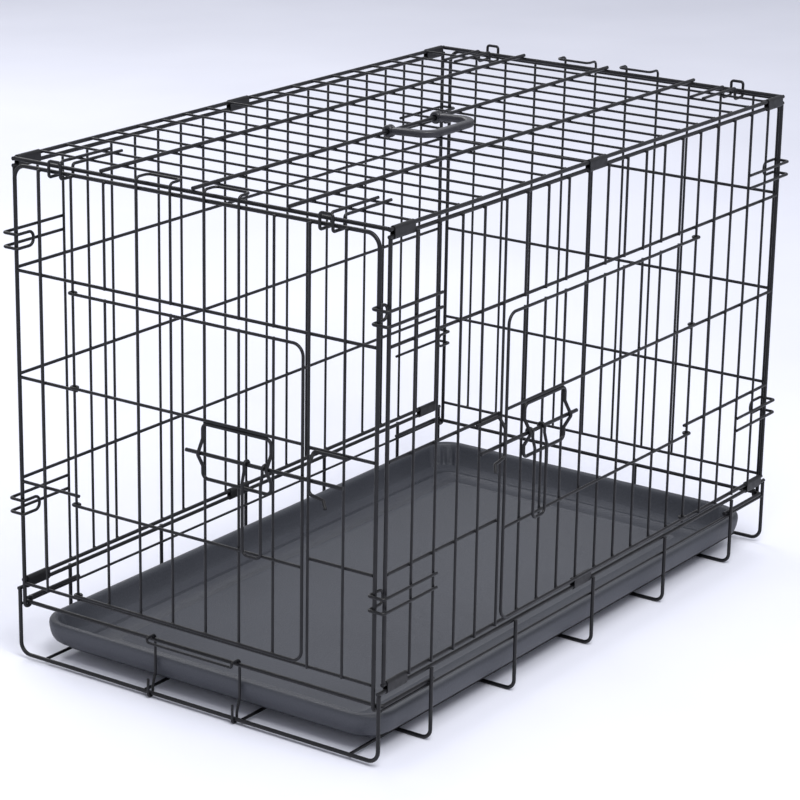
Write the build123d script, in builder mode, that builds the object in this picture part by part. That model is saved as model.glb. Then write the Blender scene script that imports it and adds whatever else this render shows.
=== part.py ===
"""Folding wire dog crate: base with tray, four folding panels, a top panel and two doors.

X runs along the crate, Y across it and Z up. The origin is on the floor at the middle of the base.
The end with a door is at -X and the long side with a door is at -Y. Sizes are millimetres.
"""
import os

from build123d import *

os.makedirs("parts", exist_ok=True)

# Overall sizes, between the centre lines of the corner wires
length = 762.0
width = 457.2
height = 533.4
length_bays = 20
width_bays = 11
side_door_bays = 10
end_door_bays = 7

# Wire diameters
frame_d = 4.2
rail_d = 3.4
bar_d = 2.8
cross_d = 4.0
thin_cross_d = 2.6
door_d = 3.2
guide_d = 3.6
bolt_d = 4.0
hook_d = 3.2

# Clearances
weld_gap = 0.03
turning_gap = 0.2
hook_gap = 0.3

# Heights above the floor
panel_bottom = 84.7
rail_spacing = 112.2
clip_pitch = 7.2
ground_rail_z = 5.2
end_rail_z = 62.7
guard_drop = 0.1
bolt_z = 280.5
end_frame_drop = 3.9

# Hinge sleeves
sleeve_wall = 0.8
sleeve_gap = 0.15
sleeve_length = 33.0

# Tray
tray_wall = 3.0
tray_height = 34.4
tray_corner = 35.0
tray_edge = 4.0
tray_end_gap = 6.3
tray_side_gap = 10.0

# Doors and latches
door_corner = 12.0
stile_gap = 4.5
bolt_reach = 46.0
bolt_tail = 18.0
notch_half = 14.0
guide_top = 309.8
guide_bottom = 254.0
bolt_handle_width = 22.0
bolt_handle_bottom = 190.0

# Carry handle
handle_centre_x = -13.5
handle_spacing = 88.0
handle_arm = 10.0
handle_reach = 57.0
handle_grip = 14.0
handle_thickness = 8.0

# Places worked out from the sizes above
half_length = length / 2
half_width = width / 2
length_pitch = length / length_bays
width_pitch = width / width_bays
rim_z = panel_bottom - clip_pitch
guard_z = end_rail_z - frame_d / 2 - bar_d / 2 - guard_drop
panel_top = height - clip_pitch
middle_rails = [panel_bottom + rail_spacing, panel_bottom + 2 * rail_spacing]
lintel_z = panel_bottom + 3 * rail_spacing
long_bar_y = half_width + frame_d / 2 + bar_d / 2 + weld_gap
long_rail_y = half_width + (frame_d - rail_d) / 2
end_rail_x = half_length + 2.8
hook_reach = frame_d + hook_gap
end_frame_x = end_rail_x + hook_reach
end_frame_y = half_width - 6.6
end_frame_top = height - end_frame_drop
end_bar_x = end_frame_x + frame_d / 2 + bar_d / 2 + weld_gap
end_rail_centre_x = end_frame_x + (frame_d - rail_d) / 2
bar_end = 0.5
side_door_width = side_door_bays * length_pitch
end_door_width = end_door_bays * width_pitch
length_bars = [length_pitch * i - half_length for i in range(1, length_bays)]
width_bars = [width_pitch * i - half_width for i in range(1, width_bays)]
runner_z = cross_d + rail_d / 2 + weld_gap
leg_y = half_width + frame_d / 2 + cross_d / 2 + weld_gap
tray_bottom = runner_z + rail_d / 2 + 0.17
sleeve_starts = [
    -half_length + 3.5,
    -length_pitch + 2.1,
    half_length - 3.5 - sleeve_length,
]


def upright_wires(places, bottom, top, diameter):
    """Upright straight wires at the given x, y places."""
    with BuildSketch(Plane.XY.offset(bottom)) as sections:
        with Locations(*places):
            Circle(diameter / 2)
    extrude(sections.sketch, amount=top - bottom)


def wires_along_x(places, start, end, diameter):
    """Straight wires along X at the given y, z places."""
    with BuildSketch(Plane(origin=(start, 0, 0), x_dir=(0, 1, 0), z_dir=(1, 0, 0))) as sections:
        with Locations(*places):
            Circle(diameter / 2)
    extrude(sections.sketch, amount=end - start)


def wires_along_y(places, start, end, diameter):
    """Straight wires along Y at the given z, x places."""
    with BuildSketch(Plane(origin=(0, start, 0), x_dir=(0, 0, 1), z_dir=(0, 1, 0))) as sections:
        with Locations(*places):
            Circle(diameter / 2)
    extrude(sections.sketch, amount=end - start)


def bent_wire(points, diameter, radius):
    """One length of wire bent through the given points, with one radius or one for each corner."""
    with BuildLine() as route:
        FilletPolyline(*points, radius=radius)
    first_run = Vector(*points[1]) - Vector(*points[0])
    with BuildSketch(Plane(origin=points[0], z_dir=first_run)) as section:
        Circle(diameter / 2)
    sweep(section.sketch, path=route.wires()[0])


def hinge_sleeve(x_start, y, z_low):
    """A sheet metal sleeve wrapped round two wires, one above the other."""
    middle = z_low + clip_pitch / 2
    inner_radius = frame_d / 2 + sleeve_gap
    end_plane = Plane(origin=(x_start, y, middle), x_dir=(0, 1, 0), z_dir=(1, 0, 0))
    with BuildSketch(end_plane) as section:
        SlotCenterToCenter(clip_pitch, 2 * (inner_radius + sleeve_wall), rotation=90)
        SlotCenterToCenter(clip_pitch, 2 * inner_radius, rotation=90, mode=Mode.SUBTRACT)
    extrude(section.sketch, amount=sleeve_length)


def side_place(across, out, z):
    """A point on the side door: across from its hinge wire, out from the bars, up."""
    return (side_door_width / 2 - across, -long_bar_y - out, z)


def end_place(across, out, z):
    """A point on the end door: across from its hinge wire, out from the bars, up."""
    return (-end_bar_x - out, end_door_width / 2 - across, z)


# Base -------------------------------------------------------------------------------------------

with BuildPart() as base_end_frames:
    leg_top = rim_z - frame_d / 2 - weld_gap
    for x in (-end_frame_x, end_frame_x):
        bent_wire(
            [
                (x, -half_width, leg_top),
                (x, -half_width, ground_rail_z),
                (x, half_width, ground_rail_z),
                (x, half_width, leg_top),
            ],
            frame_d,
            12.0,
        )

with BuildPart() as base_side_rails:
    rim_end = end_frame_x + frame_d / 2
    wires_along_x([(-half_width, rim_z), (half_width, rim_z)], -rim_end, rim_end, frame_d)

with BuildPart() as base_cross_wires:
    cross_top = rim_z + 0.4
    for bay in (-8, -4, 0, 4, 8):
        x = bay * length_pitch
        bent_wire(
            [
                (x, -leg_y, cross_top),
                (x, -leg_y, cross_d / 2),
                (x, leg_y, cross_d / 2),
                (x, leg_y, cross_top),
            ],
            cross_d,
            10.0,
        )

with BuildPart() as base_floor_runners:
    runner_end = end_frame_x - frame_d / 2 - weld_gap
    outer_runner_y = half_width - 33.6
    wires_along_x(
        [(-outer_runner_y, runner_z), (outer_runner_y, runner_z)],
        -runner_end,
        runner_end,
        rail_d,
    )
    stop_x = end_rail_x - frame_d / 2 - rail_d / 2 - weld_gap
    for y in (-1.5 * width_pitch, 1.5 * width_pitch):
        bent_wire(
            [(-runner_end, y, runner_z), (stop_x, y, runner_z), (stop_x, y, end_rail_z + 2.3)],
            rail_d,
            5.0,
        )

with BuildPart() as base_guard_wires:
    guard_y = leg_y - cross_d / 2 - bar_d / 2 - weld_gap
    guard_end = end_frame_x - frame_d / 2 - 0.1
    wires_along_x([(-guard_y, guard_z), (guard_y, guard_z)], -guard_end, guard_end, bar_d)

with BuildPart() as base_end_rails:
    return_length = 87.8
    for side in (-1, 1):
        x = side * end_rail_x
        x_return = side * (end_rail_x - return_length)
        bent_wire(
            [
                (x_return, -half_width, end_rail_z),
                (x, -half_width, end_rail_z),
                (x, half_width, end_rail_z),
                (x_return, half_width, end_rail_z),
            ],
            frame_d,
            4.4,
        )

with BuildPart() as base_hinge_clips:
    for x_start in sleeve_starts:
        for y in (-half_width, half_width):
            hinge_sleeve(x_start, y, rim_z)

with BuildPart() as tray:
    tray_half_x = end_rail_x - tray_end_gap
    tray_half_y = half_width - tray_side_gap
    with BuildSketch(Plane.XY.offset(tray_bottom)):
        RectangleRounded(2 * tray_half_x, 2 * tray_half_y, tray_corner)
    extrude(amount=tray_height)
    chamfer(tray.faces().sort_by(Axis.Z)[0].edges(), tray_edge)
    with BuildSketch(Plane.XY.offset(tray_bottom + tray_wall)):
        RectangleRounded(
            2 * (tray_half_x - tray_wall),
            2 * (tray_half_y - tray_wall),
            tray_corner - tray_wall,
        )
    extrude(amount=tray_height, mode=Mode.SUBTRACT)

with BuildPart() as pan_lock_bail:
    eye = frame_d / 2 + bar_d / 2 + turning_gap
    bail_y = 1.5 * width_pitch - 8.3
    inner_x = end_rail_x - frame_d / 2 - bar_d / 2 - hook_gap
    outer_x = end_rail_x + 9.2
    over_z = end_rail_z + frame_d / 2 + bar_d / 2 + hook_gap
    grip_z = over_z - 5.0
    one_leg = [
        (-end_frame_x - eye, ground_rail_z + 16.0),
        (-end_frame_x - eye, ground_rail_z - eye),
        (-end_frame_x + eye, ground_rail_z - eye),
        (-end_frame_x + eye, ground_rail_z + 6.0),
        (-inner_x, ground_rail_z + 20.0),
        (-inner_x, over_z),
        (-outer_x, over_z),
        (-outer_x, grip_z),
    ]
    left_leg = [(x, -bail_y, z) for x, z in one_leg]
    right_leg = [(x, bail_y, z) for x, z in reversed(one_leg)]
    leg_radii = [3.6, 3.6, 6.0, 6.0, 4.0, 2.0, 2.5]
    bent_wire(left_leg + right_leg, bar_d, leg_radii + leg_radii[::-1])

# Long panels ------------------------------------------------------------------------------------


def long_panel_frame(y):
    """The four thick wires round a long panel."""
    wires_along_x([(y, panel_bottom), (y, panel_top)], -rail_reach, rail_reach, frame_d)
    post_gap = frame_d / 2 + weld_gap
    upright_wires(
        [(-half_length, y), (half_length, y)],
        panel_bottom + post_gap,
        panel_top - post_gap,
        frame_d,
    )


def corner_hooks(side):
    """Four spring wire hooks, two at each end of a long panel, that hold the end panels."""
    out_y = side * (long_bar_y + bar_d / 2 + hook_d / 2 + weld_gap)
    in_y = side * (end_frame_y - frame_d / 2 - hook_d / 2 - 1.0)
    round_x = end_frame_x + frame_d / 2 + hook_d / 2 + hook_gap
    root_x = half_length - 2 * length_pitch - 1.8
    tip_x = half_length - 13.0
    hook_height = 14.6
    for end in (-1, 1):
        for low in (162.2, 444.1):
            high = low + hook_height
            upper = [
                (end * root_x, out_y, high),
                (end * round_x, out_y, high),
                (end * round_x, in_y, high),
                (end * tip_x, in_y, high),
            ]
            lower = [(x, y, low) for x, y, _ in reversed(upper)]
            bent_wire(upper + lower, hook_d, [3.0, 3.0, 6.5, 6.5, 3.0, 3.0])


rail_reach = half_length + frame_d / 2
rail_end = half_length - frame_d / 2 - weld_gap
side_jamb = side_door_width / 2

with BuildPart() as front_panel_frame:
    long_panel_frame(-half_width)

with BuildPart() as front_panel_rails:
    wires_along_x([(-long_rail_y, lintel_z)], -rail_end, rail_end, rail_d)
    stubs = [(-long_rail_y, z) for z in middle_rails]
    wires_along_x(stubs, -rail_end, -side_jamb + 1.0, rail_d)
    wires_along_x(stubs, side_jamb - 1.0, rail_end, rail_d)

with BuildPart() as front_panel_bars:
    beside_door = [x for x in length_bars if abs(x) > side_jamb - 1]
    above_door = [x for x in length_bars if abs(x) < side_jamb - 1]
    bar_top = panel_top + bar_end
    upright_wires([(x, -long_bar_y) for x in beside_door], panel_bottom - bar_end, bar_top, bar_d)
    upright_wires([(x, -long_bar_y) for x in above_door], lintel_z - bar_end, bar_top, bar_d)

with BuildPart() as front_corner_hooks:
    corner_hooks(-1)

with BuildPart() as back_panel_frame:
    long_panel_frame(half_width)

with BuildPart() as back_panel_rails:
    back_rails = [(long_rail_y, z) for z in middle_rails + [lintel_z]]
    wires_along_x(back_rails, -rail_end, rail_end, rail_d)

with BuildPart() as back_panel_bars:
    back_bars = [(x, long_bar_y) for x in length_bars]
    upright_wires(back_bars, panel_bottom - bar_end, panel_top + bar_end, bar_d)

with BuildPart() as back_corner_hooks:
    corner_hooks(1)

# Top panel --------------------------------------------------------------------------------------

with BuildPart() as top_frame:
    wires_along_x([(-half_width, height), (half_width, height)], -rail_reach, rail_reach, frame_d)
    top_side_end = half_width - frame_d / 2 - weld_gap
    wires_along_y(
        [(height, -half_length), (height, half_length)],
        -top_side_end,
        top_side_end,
        frame_d,
    )

with BuildPart() as top_cross_wires:
    thin_cross_z = height + (frame_d - thin_cross_d) / 2
    wires_along_y(
        [(thin_cross_z, x) for x in length_bars],
        -top_side_end,
        top_side_end,
        thin_cross_d,
    )

with BuildPart() as top_runners:
    top_runner_z = height + frame_d / 2 + cross_d / 2 + weld_gap
    runner_places = [(y, top_runner_z) for y in (-half_width / 2, 0, half_width / 2)]
    wires_along_x(runner_places, -rail_reach, rail_reach, cross_d)

with BuildPart() as top_end_hooks:
    prong_z = height + frame_d / 2 + hook_d / 2 + weld_gap
    under_z = end_frame_top - 5.0
    hook_tip_z = end_frame_top + 11.5
    down_x = half_length - 6.5
    tip_x = end_frame_x + frame_d / 2 + hook_d / 2 + 1.0
    hook_centre = 4 * width_pitch - 1.3
    for end in (-1, 1):
        for hook_y in (-hook_centre, hook_centre):
            first = [
                (end * (half_length - 2 * length_pitch - 4.8), hook_y - 7.5, prong_z),
                (end * down_x, hook_y - 7.5, prong_z),
                (end * down_x, hook_y - 7.5, under_z),
                (end * tip_x, hook_y - 7.5, under_z),
                (end * tip_x, hook_y - 7.5, hook_tip_z),
            ]
            second = [(x, y + 15.0, z) for x, y, z in reversed(first)]
            bent_wire(first + second, hook_d, 3.0)

with BuildPart() as top_hinge_clips:
    for x_start in sleeve_starts:
        for y in (-half_width, half_width):
            hinge_sleeve(x_start, y, panel_top)

with BuildPart() as carry_handle:
    handle_bottom = height + frame_d / 2 + 0.5
    bore_radius = cross_d / 2 + 0.1
    with BuildSketch(Plane.XY.offset(handle_bottom)):
        with Locations((handle_centre_x, -handle_reach / 2)):
            RectangleRounded(handle_spacing + handle_arm, handle_reach, handle_arm / 2 - 0.1)
        with Locations((handle_centre_x, handle_grip / 2 - handle_reach / 2)):
            RectangleRounded(
                handle_spacing - handle_arm,
                handle_reach - handle_grip + 0.2,
                4.0,
                mode=Mode.SUBTRACT,
            )
        with Locations((handle_centre_x, 0)):
            Rectangle(handle_spacing - handle_arm, 12.0, mode=Mode.SUBTRACT)
    extrude(amount=handle_thickness)
    for x in (handle_centre_x - handle_spacing / 2, handle_centre_x + handle_spacing / 2):
        ring_plane = Plane(
            origin=(x - handle_arm / 2, 0, top_runner_z),
            x_dir=(0, 1, 0),
            z_dir=(1, 0, 0),
        )
        with BuildSketch(ring_plane):
            Circle(bore_radius + 2.9)
        extrude(amount=handle_arm)
        with BuildSketch(ring_plane):
            Circle(bore_radius)
        extrude(amount=handle_arm, mode=Mode.SUBTRACT)

# End panels -------------------------------------------------------------------------------------


def end_panel_frame(side):
    """An inverted U of wire whose feet hook round the base's end rail."""
    outer = side * end_frame_x
    inner = side * (end_rail_x - hook_reach)
    foot_z = end_rail_z - hook_reach
    half = [
        (inner, end_rail_z + 5.3),
        (inner, foot_z),
        (outer, foot_z),
        (outer, end_frame_top),
    ]
    left = [(x, -end_frame_y, z) for x, z in half]
    right = [(x, end_frame_y, z) for x, z in reversed(half)]
    bent_wire(left + right, frame_d, [4.4, 4.4, 14.0, 14.0, 4.4, 4.4])


def catch_loops(side, bottom):
    """Two loops of wire that pass over the top panel's end rail."""
    over_z = height + frame_d / 2 + bar_d / 2 + 4.1
    outer = side * end_bar_x
    inner = side * (half_length - 7.0)
    for low_y, high_y in ((-1.5, -0.5), (0.5, 1.5)):
        first = [(outer, bottom), (outer, over_z), (inner, over_z)]
        left = [(x, low_y * width_pitch, z) for x, z in first]
        right = [(x, high_y * width_pitch, z) for x, z in reversed(first)]
        bent_wire(left + right, bar_d, 5.0)


end_rail_reach = end_frame_y - frame_d / 2 - weld_gap
end_jamb = end_door_width / 2
end_bar_low = panel_bottom - bar_end
end_bar_top = end_frame_top + bar_end

with BuildPart() as near_end_frame:
    end_panel_frame(-1)

with BuildPart() as near_end_rails:
    full_rails = [(z, -end_rail_centre_x) for z in (panel_bottom, lintel_z)]
    stub_rails = [(z, -end_rail_centre_x) for z in middle_rails]
    wires_along_y(full_rails, -end_rail_reach, end_rail_reach, rail_d)
    wires_along_y(stub_rails, -end_rail_reach, -end_jamb + 1.0, rail_d)
    wires_along_y(stub_rails, end_jamb - 1.0, end_rail_reach, rail_d)

with BuildPart() as near_end_bars:
    outer_bars = [y for y in width_bars if abs(y) > end_jamb - 1]
    plain_bars = [y for y in width_bars if abs(y) > 2 * width_pitch]
    short_bars = [y for y in plain_bars if abs(y) < end_jamb - 1]
    upright_wires([(-end_bar_x, y) for y in outer_bars], end_bar_low, end_bar_top, bar_d)
    upright_wires([(-end_bar_x, y) for y in short_bars], lintel_z - bar_end, end_bar_top, bar_d)

with BuildPart() as near_end_catch_loops:
    catch_loops(-1, lintel_z - bar_end)

with BuildPart() as far_end_frame:
    end_panel_frame(1)

with BuildPart() as far_end_rails:
    far_rails = [(z, end_rail_centre_x) for z in [panel_bottom] + middle_rails + [lintel_z]]
    wires_along_y(far_rails, -end_rail_reach, end_rail_reach, rail_d)

with BuildPart() as far_end_bars:
    upright_wires([(end_bar_x, y) for y in plain_bars], end_bar_low, end_bar_top, bar_d)

with BuildPart() as far_end_catch_loops:
    catch_loops(1, end_bar_low)

# Doors ------------------------------------------------------------------------------------------

curl = bar_d / 2 + door_d / 2 + turning_gap
curl_radius = curl - 0.05
door_bar_out = curl - door_d / 2 - bar_d / 2 - weld_gap
guide_out = door_bar_out + bar_d / 2 + guide_d / 2 + weld_gap
bolt_out = curl + 3.8
notch_out = bolt_out + bolt_d / 2 + guide_d / 2 + 0.8
handle_out = bolt_out + 6.5
door_top = lintel_z - 10.2
door_bottom = panel_bottom + 5.5
door_middle = [middle_rails[0] - 8.2, middle_rails[1] + 4.1]


def hinge_curl(place, z):
    """The end of a door wire, curled round the panel's hinge wire."""
    return [
        place(-curl, curl, z),
        place(-curl, -curl, z),
        place(curl, -curl, z),
        place(curl, 0.2, z),
    ]


def door_frame(place, door_width):
    """The wire along the top, the free edge and the bottom of a door."""
    stile = door_width - stile_gap
    top_curl = hinge_curl(place, door_top)[::-1]
    corners = [place(stile, curl, door_top), place(stile, curl, door_bottom)]
    curl_radii = [curl_radius] * 3
    radii = curl_radii + [door_corner, door_corner] + curl_radii
    bent_wire(top_curl + corners + hinge_curl(place, door_bottom), door_d, radii)


def door_rails(place, door_width):
    """The two middle rails of a door."""
    start = door_width - stile_gap - door_d / 2 - weld_gap
    for z in door_middle:
        bent_wire([place(start, curl, z)] + hinge_curl(place, z), door_d, curl_radius)


def door_bars(place, bays, pitch):
    """The upright bars of a door."""
    places = [place(pitch * i, door_bar_out, 0)[:2] for i in range(1, bays)]
    upright_wires(places, door_bottom - bar_end, door_top + bar_end, bar_d)


def bolt_guide(place, door_width, pitch):
    """A wire rectangle welded on the bars, notched outward where the bolt slides."""
    near = door_width - pitch
    far = door_width - 3 * pitch
    middle = door_width - 2 * pitch

    def side(across):
        return [
            place(across, guide_out, guide_top),
            place(across, guide_out, bolt_z + notch_half),
            place(across, notch_out, bolt_z),
            place(across, guide_out, bolt_z - notch_half),
            place(across, guide_out, guide_bottom),
        ]

    start = [place(middle, guide_out, guide_top)]
    end = [place(middle - 2 * weld_gap, guide_out, guide_top)]
    side_radii = [6.0, 3.0, 3.0, 3.0, 6.0]
    bent_wire(start + side(near) + side(far)[::-1] + end, guide_d, side_radii * 2)


def bolt_rod(place, door_width, pitch):
    """The straight bolt that slides in the guide's notches."""
    tip = Vector(*place(door_width + bolt_reach, bolt_out, bolt_z))
    tail = Vector(*place(door_width - 3 * pitch - bolt_tail, bolt_out, bolt_z))
    with BuildSketch(Plane(origin=tail, z_dir=tip - tail)) as section:
        Circle(bolt_d / 2)
    extrude(section.sketch, amount=(tip - tail).length)


def bolt_handle(place, door_width, pitch):
    """The loop of wire that hangs from the bolt and slides it."""
    ring = bolt_d / 2 + door_d / 2 + 0.15
    near = door_width - pitch - 5.0
    far = near - bolt_handle_width
    profile = [
        (bolt_out - ring, bolt_z - 0.4),
        (bolt_out - ring, bolt_z + ring),
        (bolt_out + ring, bolt_z + ring),
        (bolt_out + ring, bolt_z - 6.0),
        (handle_out, bolt_z - 16.0),
        (handle_out, bolt_handle_bottom),
    ]
    first = [place(near, out, z) for out, z in profile]
    second = [place(far, out, z) for out, z in reversed(profile)]
    ring_radius = ring - 0.05
    radii = [ring_radius, ring_radius, 3.0, 3.0, 6.0]
    bent_wire(first + second, door_d, radii + radii[::-1])


def door_keeper(place, door_width):
    """The open wire loop beside the doorway that the bolt's tip slides behind, with its tail turned out."""
    keeper_out = bar_d / 2 + guide_d / 2 + weld_gap
    crest = bolt_out + bolt_d / 2 + guide_d / 2 + hook_gap
    near = door_width + 9.0
    far = door_width + 48.0
    bent_wire(
        [
            place(far, keeper_out, middle_rails[1]),
            place(near, keeper_out, middle_rails[1]),
            place(near, crest, bolt_z + 18.0),
            place(near, crest, bolt_z - 12.0),
            place(near + 17.0, crest, bolt_z - 15.0),
            place(near + 23.0, crest + 5.0, bolt_z - 21.0),
        ],
        guide_d,
        [3.0, 3.0, 5.0, 3.0],
    )


with BuildPart() as side_door_frame:
    door_frame(side_place, side_door_width)

with BuildPart() as side_door_rails:
    door_rails(side_place, side_door_width)

with BuildPart() as side_door_bars:
    door_bars(side_place, side_door_bays, length_pitch)

with BuildPart() as side_bolt_guide:
    bolt_guide(side_place, side_door_width, length_pitch)

with BuildPart() as side_bolt_rod:
    bolt_rod(side_place, side_door_width, length_pitch)

with BuildPart() as side_bolt_handle:
    bolt_handle(side_place, side_door_width, length_pitch)

with BuildPart() as side_door_keeper:
    door_keeper(side_place, side_door_width)

with BuildPart() as end_door_frame:
    door_frame(end_place, end_door_width)

with BuildPart() as end_door_rails:
    door_rails(end_place, end_door_width)

with BuildPart() as end_door_bars:
    door_bars(end_place, end_door_bays, width_pitch)

with BuildPart() as end_bolt_guide:
    bolt_guide(end_place, end_door_width, width_pitch)

with BuildPart() as end_bolt_rod:
    bolt_rod(end_place, end_door_width, width_pitch)

with BuildPart() as end_bolt_handle:
    bolt_handle(end_place, end_door_width, width_pitch)

with BuildPart() as end_door_keeper:
    door_keeper(end_place, end_door_width)

# Write every piece ------------------------------------------------------------------------------

pieces = {
    "base_end_frames": base_end_frames,
    "base_side_rails": base_side_rails,
    "base_cross_wires": base_cross_wires,
    "base_floor_runners": base_floor_runners,
    "base_guard_wires": base_guard_wires,
    "base_end_rails": base_end_rails,
    "base_hinge_clips": base_hinge_clips,
    "tray": tray,
    "pan_lock_bail": pan_lock_bail,
    "front_panel_frame": front_panel_frame,
    "front_panel_rails": front_panel_rails,
    "front_panel_bars": front_panel_bars,
    "front_corner_hooks": front_corner_hooks,
    "back_panel_frame": back_panel_frame,
    "back_panel_rails": back_panel_rails,
    "back_panel_bars": back_panel_bars,
    "back_corner_hooks": back_corner_hooks,
    "top_frame": top_frame,
    "top_cross_wires": top_cross_wires,
    "top_runners": top_runners,
    "top_end_hooks": top_end_hooks,
    "top_hinge_clips": top_hinge_clips,
    "carry_handle": carry_handle,
    "near_end_frame": near_end_frame,
    "near_end_rails": near_end_rails,
    "near_end_bars": near_end_bars,
    "near_end_catch_loops": near_end_catch_loops,
    "far_end_frame": far_end_frame,
    "far_end_rails": far_end_rails,
    "far_end_bars": far_end_bars,
    "far_end_catch_loops": far_end_catch_loops,
    "side_door_frame": side_door_frame,
    "side_door_rails": side_door_rails,
    "side_door_bars": side_door_bars,
    "side_bolt_guide": side_bolt_guide,
    "side_bolt_rod": side_bolt_rod,
    "side_bolt_handle": side_bolt_handle,
    "side_door_keeper": side_door_keeper,
    "end_door_frame": end_door_frame,
    "end_door_rails": end_door_rails,
    "end_door_bars": end_door_bars,
    "end_bolt_guide": end_bolt_guide,
    "end_bolt_rod": end_bolt_rod,
    "end_bolt_handle": end_bolt_handle,
    "end_door_keeper": end_door_keeper,
}

for name, piece in pieces.items():
    piece.part.label = name
    export_step(piece.part, f"parts/{name}.step")
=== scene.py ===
"""The looks of the folding wire dog crate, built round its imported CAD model. Metres throughout."""
import math

import bmesh
import bpy
from mathutils import Matrix, Vector


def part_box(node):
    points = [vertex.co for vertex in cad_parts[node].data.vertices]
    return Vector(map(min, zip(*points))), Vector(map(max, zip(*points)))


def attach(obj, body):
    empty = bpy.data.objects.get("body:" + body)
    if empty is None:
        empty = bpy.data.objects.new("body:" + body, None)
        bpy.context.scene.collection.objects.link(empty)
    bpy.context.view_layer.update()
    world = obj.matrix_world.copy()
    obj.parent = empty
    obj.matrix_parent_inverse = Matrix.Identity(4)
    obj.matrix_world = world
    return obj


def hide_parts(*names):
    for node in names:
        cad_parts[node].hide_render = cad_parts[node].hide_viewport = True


MM = 0.001

FRAME_WIRE = 4.2 * MM
DOOR_WIRE = 3.2 * MM
WELD_RADIUS = 1.75 * MM
WELD_REACH = 0.2 * MM
STRAIGHT_RATIO = 6
TRAY_CORNER = 35.0
SMALLEST_TRAY_CORNER = 9.0
FLUTES_PER_CORNER = 4
STRAP_WIDTH = 9.6 * MM
STRAP_THICKNESS = 7.4 * MM
STRAP_CORNER = 19.0 * MM
SNAP_RING_MAJOR = 4.6 * MM
SNAP_RING_MINOR = 2.3 * MM
FLOOR_HALF = 40.0

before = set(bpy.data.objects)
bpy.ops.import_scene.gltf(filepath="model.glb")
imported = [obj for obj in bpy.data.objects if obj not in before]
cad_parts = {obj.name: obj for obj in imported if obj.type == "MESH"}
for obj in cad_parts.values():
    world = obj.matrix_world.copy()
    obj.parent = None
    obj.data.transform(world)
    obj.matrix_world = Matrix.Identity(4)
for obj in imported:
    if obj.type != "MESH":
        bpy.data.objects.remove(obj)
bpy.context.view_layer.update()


# Camera: where it stands, how it is turned and how long its lens is ---------------------------

def add_camera():
    azimuth = math.radians(-55.466)
    elevation = math.radians(17.742)
    roll = math.radians(1.009)
    back = Vector((
        math.sin(azimuth) * math.cos(elevation),
        -math.cos(azimuth) * math.cos(elevation),
        math.sin(elevation),
    ))
    right = Vector((0, 0, 1)).cross(back).normalized()
    up = back.cross(right)
    turned_right = right * math.cos(roll) + up * math.sin(roll)
    turned_up = up * math.cos(roll) - right * math.sin(roll)
    data = bpy.data.cameras.new("camera")
    data.sensor_width = 36.0
    data.lens = 129.14
    data.clip_end = 100.0
    camera = bpy.data.objects.new("camera", data)
    rotation = Matrix((turned_right, turned_up, back)).transposed()
    camera.matrix_world = Matrix.Translation((-2.4587, -1.6719, 1.1804)) @ rotation.to_4x4()
    bpy.context.scene.collection.objects.link(camera)
    bpy.context.scene.camera = camera


# Materials -------------------------------------------------------------------------------------

def new_material(name):
    """A material with nodes, and its node tree, shader and object coordinates."""
    material = bpy.data.materials.new(name)
    material.use_nodes = True
    tree = material.node_tree
    shader = tree.nodes["Principled BSDF"]
    place = tree.nodes.new("ShaderNodeTexCoord")
    return material, tree, shader, place


def add_noise(tree, place, scale, detail=3.0):
    noise = tree.nodes.new("ShaderNodeTexNoise")
    noise.inputs["Scale"].default_value = scale
    noise.inputs["Detail"].default_value = detail
    tree.links.new(place.outputs["Object"], noise.inputs["Vector"])
    return noise.outputs["Fac"]


def add_ramp(tree, factor, stops):
    """A colour ramp through the given (position, colour) stops."""
    ramp = tree.nodes.new("ShaderNodeValToRGB")
    elements = ramp.color_ramp.elements
    while len(elements) < len(stops):
        elements.new(0.5)
    for element, (position, colour) in zip(elements, stops):
        element.position = position
        element.color = (*colour, 1.0)
    tree.links.new(factor, ramp.inputs["Fac"])
    return ramp.outputs["Color"]


def add_range(tree, factor, low, high):
    """The factor spread between two values."""
    spread = tree.nodes.new("ShaderNodeMapRange")
    spread.inputs["From Min"].default_value = 0.3
    spread.inputs["From Max"].default_value = 0.7
    spread.inputs["To Min"].default_value = low
    spread.inputs["To Max"].default_value = high
    tree.links.new(factor, spread.inputs["Value"])
    return spread.outputs["Result"]


def add_bump(tree, shader, height, strength, distance):
    bump = tree.nodes.new("ShaderNodeBump")
    bump.inputs["Strength"].default_value = strength
    bump.inputs["Distance"].default_value = distance
    tree.links.new(height, bump.inputs["Height"])
    tree.links.new(bump.outputs["Normal"], shader.inputs["Normal"])


def powder_coat(name, dark, light, low_rough, high_rough):
    """Black powder coat: an even satin film with fine orange peel and slightly uneven gloss."""
    material, tree, shader, place = new_material(name)
    patches = add_noise(tree, place, 35.0)
    tree.links.new(add_ramp(tree, patches, [(0.3, dark), (0.75, light)]), shader.inputs["Base Color"])
    gloss = add_noise(tree, place, 160.0)
    tree.links.new(add_range(tree, gloss, low_rough, high_rough), shader.inputs["Roughness"])
    shader.inputs["Specular IOR Level"].default_value = 0.32
    add_bump(tree, shader, add_noise(tree, place, 1400.0, 2.0), 0.35, 0.0002)
    return material


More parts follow.
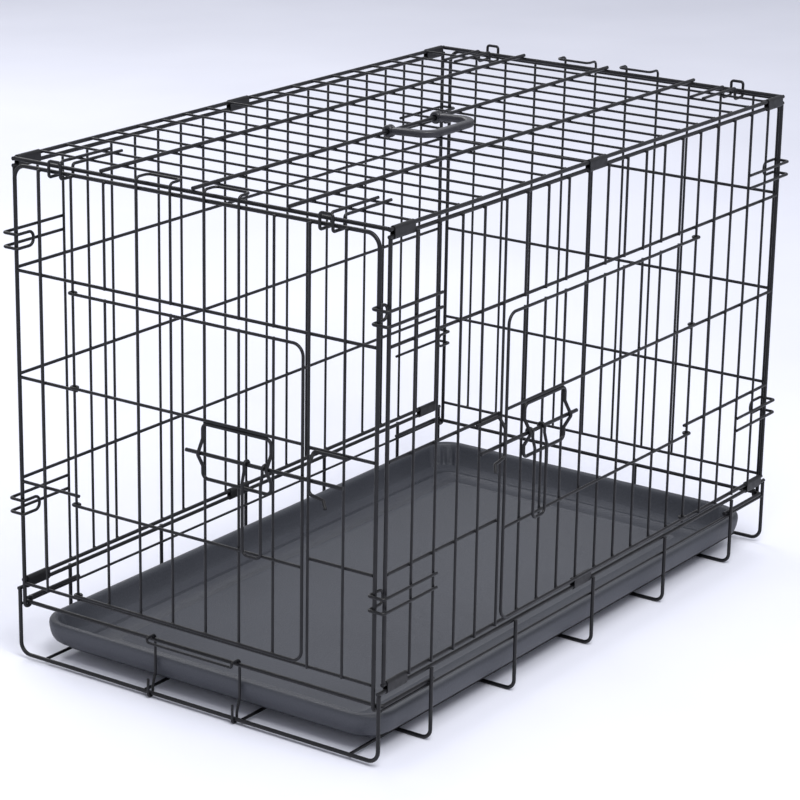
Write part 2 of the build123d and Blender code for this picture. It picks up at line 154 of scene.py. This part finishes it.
def moulded_plastic(name, dark, light, grain_scale, grain, roughness):
    """Moulded plastic with a pebbled grain and slightly cloudy colour."""
    material, tree, shader, place = new_material(name)
    cloud = add_noise(tree, place, 9.0, 5.0)
    speckle = add_noise(tree, place, 700.0, 2.0)
    mix = tree.nodes.new("ShaderNodeMix")
    mix.data_type = "FLOAT"
    mix.inputs[0].default_value = 0.45
    tree.links.new(cloud, mix.inputs[2])
    tree.links.new(speckle, mix.inputs[3])
    colour = add_ramp(tree, mix.outputs[0], [(0.32, dark), (0.68, light)])
    tree.links.new(colour, shader.inputs["Base Color"])
    tree.links.new(
        add_range(tree, cloud, roughness - 0.06, roughness + 0.08),
        shader.inputs["Roughness"],
    )
    pebbles = tree.nodes.new("ShaderNodeTexVoronoi")
    pebbles.feature = "SMOOTH_F1"
    pebbles.inputs["Scale"].default_value = grain_scale
    tree.links.new(place.outputs["Object"], pebbles.inputs["Vector"])
    add_bump(tree, shader, pebbles.outputs["Distance"], grain, 0.0004)
    return material


wire_black = powder_coat("wire_black", (0.004, 0.004, 0.005), (0.009, 0.009, 0.011), 0.34, 0.48)
clip_black = powder_coat("clip_black", (0.006, 0.006, 0.007), (0.014, 0.014, 0.016), 0.40, 0.56)
weld_black = powder_coat("weld_black", (0.005, 0.005, 0.006), (0.012, 0.012, 0.014), 0.42, 0.56)
tray_slate = moulded_plastic(
    "tray_slate", (0.034, 0.037, 0.047), (0.054, 0.058, 0.071), 620.0, 0.6, 0.52
)
handle_black = moulded_plastic(
    "handle_black", (0.012, 0.012, 0.015), (0.024, 0.024, 0.030), 1100.0, 0.25, 0.36
)


def set_material(piece, material):
    piece.data.materials.clear()
    piece.data.materials.append(material)


def finish_mesh(name, bm, material, body):
    """A new smooth piece that rides on a body."""
    bmesh.ops.recalc_face_normals(bm, faces=bm.faces)
    mesh = bpy.data.meshes.new(name)
    bm.to_mesh(mesh)
    bm.free()
    for polygon in mesh.polygons:
        polygon.use_smooth = True
    piece = bpy.data.objects.new(name, mesh)
    bpy.context.scene.collection.objects.link(piece)
    set_material(piece, material)
    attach(piece, body)
    return piece


for node_name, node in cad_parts.items():
    set_material(node, clip_black if node_name.endswith("hinge_clips") else wire_black)


# Weld nuggets where wires cross ----------------------------------------------------------------

def straight_wires(node_name):
    """The (low, high) box of each straight wire in a CAD node."""
    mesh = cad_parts[node_name].data
    keys = [tuple(round(c, 6) for c in vertex.co) for vertex in mesh.vertices]
    group = {key: key for key in keys}

    def root(key):
        while group[key] != key:
            group[key] = group[group[key]]
            key = group[key]
        return key

    for edge in mesh.edges:
        first, second = (root(keys[i]) for i in edge.vertices)
        group[first] = second
    islands = {}
    for key in group:
        islands.setdefault(root(key), []).append(key)
    boxes = []
    for points in islands.values():
        low = Vector(min(p[i] for p in points) for i in range(3))
        high = Vector(max(p[i] for p in points) for i in range(3))
        sides = sorted(high - low)
        if sides[2] > STRAIGHT_RATIO * sides[1]:
            boxes.append((low, high))
    return boxes


def bent_strip(node_name, edge, thickness, out_axis, out_sign):
    """The straight stretch along the top or the bottom of a bent wire frame, as a box."""
    low, high = (corner.copy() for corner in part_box(node_name))
    if edge == "top":
        low.z = high.z - thickness
    else:
        high.z = low.z + thickness
    if out_sign < 0:
        high[out_axis] = low[out_axis] + thickness
    else:
        low[out_axis] = high[out_axis] - thickness
    return [(low, high)]


def crossings(first, second):
    """The middle of each place where a wire of one list touches a wire of the other."""
    points = []
    for low_a, high_a in first:
        for low_b, high_b in second:
            low = Vector(max(a, b) for a, b in zip(low_a, low_b))
            high = Vector(min(a, b) for a, b in zip(high_a, high_b))
            if all(high[i] - low[i] > -WELD_REACH for i in range(3)):
                points.append((low + high) / 2)
    return points


def add_welds(name, body, points):
    """Small round nuggets of metal under the coating, one at each crossing."""
    bm = bmesh.new()
    for point in points:
        matrix = Matrix.Translation(point) @ Matrix.Scale(WELD_RADIUS, 4)
        bmesh.ops.create_icosphere(bm, subdivisions=2, radius=1.0, matrix=matrix)
    finish_mesh(name, bm, weld_black, body)


def panel_welds(name, body, bars, rails, extra=()):
    first = [box for node_name in bars for box in straight_wires(node_name)]
    second = [box for node_name in rails for box in straight_wires(node_name)]
    add_welds(name, body, crossings(first, second + list(extra)))


panel_welds("front_welds", "front_panel", ["front_panel_bars"], ["front_panel_rails", "front_panel_frame"])
panel_welds("back_welds", "back_panel", ["back_panel_bars"], ["back_panel_rails", "back_panel_frame"])
panel_welds("top_welds", "top_panel", ["top_cross_wires"], ["top_runners", "top_frame"])
panel_welds(
    "near_end_welds",
    "near_end_panel",
    ["near_end_bars"],
    ["near_end_rails"],
    bent_strip("near_end_frame", "top", FRAME_WIRE, 0, -1),
)
panel_welds(
    "far_end_welds",
    "far_end_panel",
    ["far_end_bars"],
    ["far_end_rails"],
    bent_strip("far_end_frame", "top", FRAME_WIRE, 0, 1),
)
for door, out_axis in (("side", 1), ("end", 0)):
    door_edges = []
    for edge in ("top", "bottom"):
        door_edges += bent_strip(f"{door}_door_frame", edge, DOOR_WIRE, out_axis, -1)
        door_edges += bent_strip(f"{door}_door_rails", edge, DOOR_WIRE, out_axis, -1)
    panel_welds(f"{door}_door_welds", f"{door}_door", [f"{door}_door_bars"], [], door_edges)


# Tray ------------------------------------------------------------------------------------------

def rounded_ring(half_x, half_y, radius, height, flute=0.0, corner_points=33):
    """Points round a rounded rectangle, its corners waved inward by up to the flute depth."""
    points = []
    for quarter, (sx, sy) in enumerate(((1, 1), (-1, 1), (-1, -1), (1, -1))):
        for step in range(corner_points):
            share = step / (corner_points - 1)
            angle = math.radians(90 * (quarter + share))
            wave = flute * 0.5 * (1 - math.cos(2 * math.pi * FLUTES_PER_CORNER * share))
            reach = radius - wave
            points.append(Vector((
                sx * (half_x - radius) + reach * math.cos(angle),
                sy * (half_y - radius) + reach * math.sin(angle),
                height,
            )))
    return points


def loft(bm, rings):
    """Joins closed rings of points in order and caps both ends."""
    loops = [[bm.verts.new(point) for point in ring] for ring in rings]
    count = len(loops[0])
    for lower, upper in zip(loops, loops[1:]):
        for i in range(count):
            j = (i + 1) % count
            bm.faces.new((lower[i], lower[j], upper[j], upper[i]))
    bm.faces.new(loops[0][::-1])
    bm.faces.new(loops[-1])


def add_tray():
    """The tray: a rounded skirt, a rolled rim, fluted corners, a gutter and two raised floor lines."""
    low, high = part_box("tray")
    half_x = high.x / MM
    half_y = high.y / MM
    top = high.z / MM
    bottom = low.z / MM
    # Each stop is (inset from the tray's outline, height, corner flute depth), in millimetres.
    profile = [
        (40.0, bottom, 0), (34.0, bottom + 0.3, 0), (26.0, bottom + 4.0, 0), (18.0, bottom + 7.5, 0),
        (11.0, bottom + 9.4, 0), (7.0, bottom + 11.0, 0), (4.4, bottom + 13.2, 0),
        (2.6, bottom + 16.4, 0), (1.2, bottom + 21.0, 0), (0.4, bottom + 26.0, 0),
        (0.2, top - 5.0, 0), (0.5, top - 2.6, 0), (1.4, top - 1.0, 0),
        (3.0, top, 0), (6.4, top, 0), (8.0, top - 0.7, 0), (8.9, top - 2.4, 0),
        (9.4, top - 6.0, 0.6), (10.4, top - 13.0, 2.6), (12.0, top - 21.0, 2.6),
        (14.5, bottom + 7.0, 1.2), (16.5, bottom + 4.4, 0), (22.0, bottom + 3.6, 0),
        (28.0, bottom + 5.4, 0), (30.0, bottom + 5.9, 0), (32.4, bottom + 5.9, 0),
        (33.0, bottom + 6.5, 0), (34.2, bottom + 6.5, 0), (34.8, bottom + 5.9, 0),
        (60.0, bottom + 5.7, 0), (60.6, bottom + 6.2, 0), (61.8, bottom + 6.2, 0),
        (62.4, bottom + 5.7, 0),
    ]
    rings = []
    for inset, height, flute in profile:
        radius = max(TRAY_CORNER - inset * 0.75, SMALLEST_TRAY_CORNER)
        ring = rounded_ring(half_x - inset, half_y - inset, radius, height, flute)
        rings.append([point * MM for point in ring])
    bm = bmesh.new()
    loft(bm, rings)
    piece = finish_mesh("moulded_tray", bm, tray_slate, "tray")
    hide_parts("tray")


# Carry handle ----------------------------------------------------------------------------------

def sweep_section(bm, path, width, thickness):
    """A rounded strap swept along a level path."""
    sides = 28
    rings = []
    for i, point in enumerate(path):
        before = path[max(i - 1, 0)]
        after = path[min(i + 1, len(path) - 1)]
        along = (after - before).normalized()
        across = Vector((along.y, -along.x, 0))
        ring = []
        for k in range(sides):
            angle = 2 * math.pi * k / sides
            c, s = math.cos(angle), math.sin(angle)
            wide = math.copysign(abs(c) ** 0.5, c) * width / 2
            tall = math.copysign(abs(s) ** 0.5, s) * thickness / 2
            ring.append(point + across * wide + Vector((0, 0, tall)))
        rings.append(ring)
    loft(bm, rings)


def add_torus(bm, centre, major, minor, turns=36, sides=16):
    """A ring round an axis along X."""
    loops = []
    for i in range(turns):
        a = 2 * math.pi * i / turns
        loop = []
        for k in range(sides):
            b = 2 * math.pi * k / sides
            reach = major + minor * math.cos(b)
            loop.append(bm.verts.new(centre + Vector((
                minor * math.sin(b), reach * math.cos(a), reach * math.sin(a)
            ))))
        loops.append(loop)
    for i in range(turns):
        for k in range(sides):
            n = (k + 1) % sides
            following = loops[(i + 1) % turns]
            bm.faces.new((loops[i][k], loops[i][n], following[n], following[k]))


def add_carry_handle():
    """A black strap handle with two snap rings on the middle runner at each end."""
    low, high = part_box("carry_handle")
    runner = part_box("top_runners")
    axis_z = (runner[0].z + runner[1].z) / 2
    left = low.x + 5.0 * MM
    right = high.x - 5.0 * MM
    grip_y = low.y + 6.5 * MM
    level = high.z - 4.3 * MM
    path = [Vector((left, -3.4 * MM, axis_z + 0.6 * MM)), Vector((left, -9.0 * MM, level - 1.0 * MM))]
    for centre_x, start in ((left + STRAP_CORNER, 180.0), (right - STRAP_CORNER, 270.0)):
        for step in range(13):
            angle = math.radians(start + 90.0 * step / 12)
            path.append(Vector((
                centre_x + STRAP_CORNER * math.cos(angle),
                grip_y + STRAP_CORNER + STRAP_CORNER * math.sin(angle),
                level,
            )))
    path += [Vector((right, -9.0 * MM, level - 1.0 * MM)), Vector((right, -3.4 * MM, axis_z + 0.6 * MM))]
    bm = bmesh.new()
    sweep_section(bm, path, STRAP_WIDTH, STRAP_THICKNESS)
    strap = finish_mesh("handle_strap", bm, handle_black, "carry_handle")
    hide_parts("carry_handle")
    bm = bmesh.new()
    for end in (left, right):
        for offset in (-2.5 * MM, 2.5 * MM):
            add_torus(bm, Vector((end + offset, 0.0, axis_z)), SNAP_RING_MAJOR, SNAP_RING_MINOR)
    finish_mesh("handle_snap_rings", bm, handle_black, "carry_handle")


add_tray()
add_carry_handle()


# Floor and light -------------------------------------------------------------------------------

def add_floor():
    mesh = bpy.data.meshes.new("floor")
    corners = [
        (-FLOOR_HALF, -FLOOR_HALF, 0), (FLOOR_HALF, -FLOOR_HALF, 0),
        (FLOOR_HALF, FLOOR_HALF, 0), (-FLOOR_HALF, FLOOR_HALF, 0),
    ]
    mesh.from_pydata(corners, [], [(0, 1, 2, 3)])
    floor = bpy.data.objects.new("floor", mesh)
    bpy.context.scene.collection.objects.link(floor)
    material, tree, shader, place = new_material("pale_floor")
    tone = add_noise(tree, place, 2.0)
    colour = add_ramp(tree, tone, [(0.3, (0.74, 0.75, 0.83)), (0.7, (0.79, 0.80, 0.88))])
    tree.links.new(colour, shader.inputs["Base Color"])
    shader.inputs["Roughness"].default_value = 0.6
    set_material(floor, material)


def add_area_light(name, place, target, size, power):
    data = bpy.data.lights.new(name, "AREA")
    data.shape = "DISK"
    data.size = size
    data.energy = power
    light = bpy.data.objects.new(name, data)
    light.location = place
    direction = Vector(target) - Vector(place)
    light.rotation_euler = direction.to_track_quat("-Z", "Y").to_euler()
    bpy.context.scene.collection.objects.link(light)


def add_world():
    world = bpy.data.worlds.new("studio")
    world.use_nodes = True
    background = world.node_tree.nodes["Background"]
    background.inputs["Color"].default_value = (0.90, 0.92, 1.0, 1.0)
    background.inputs["Strength"].default_value = 0.68
    bpy.context.scene.world = world


add_camera()
add_floor()
add_world()
add_area_light("key", (-1.0, -1.6, 3.2), (0, 0, 0.2), 2.2, 105.0)
add_area_light("back", (1.2, 2.6, 2.4), (0, 0, 0.3), 2.5, 45.0)
bpy.context.scene.view_settings.view_transform = "Standard"
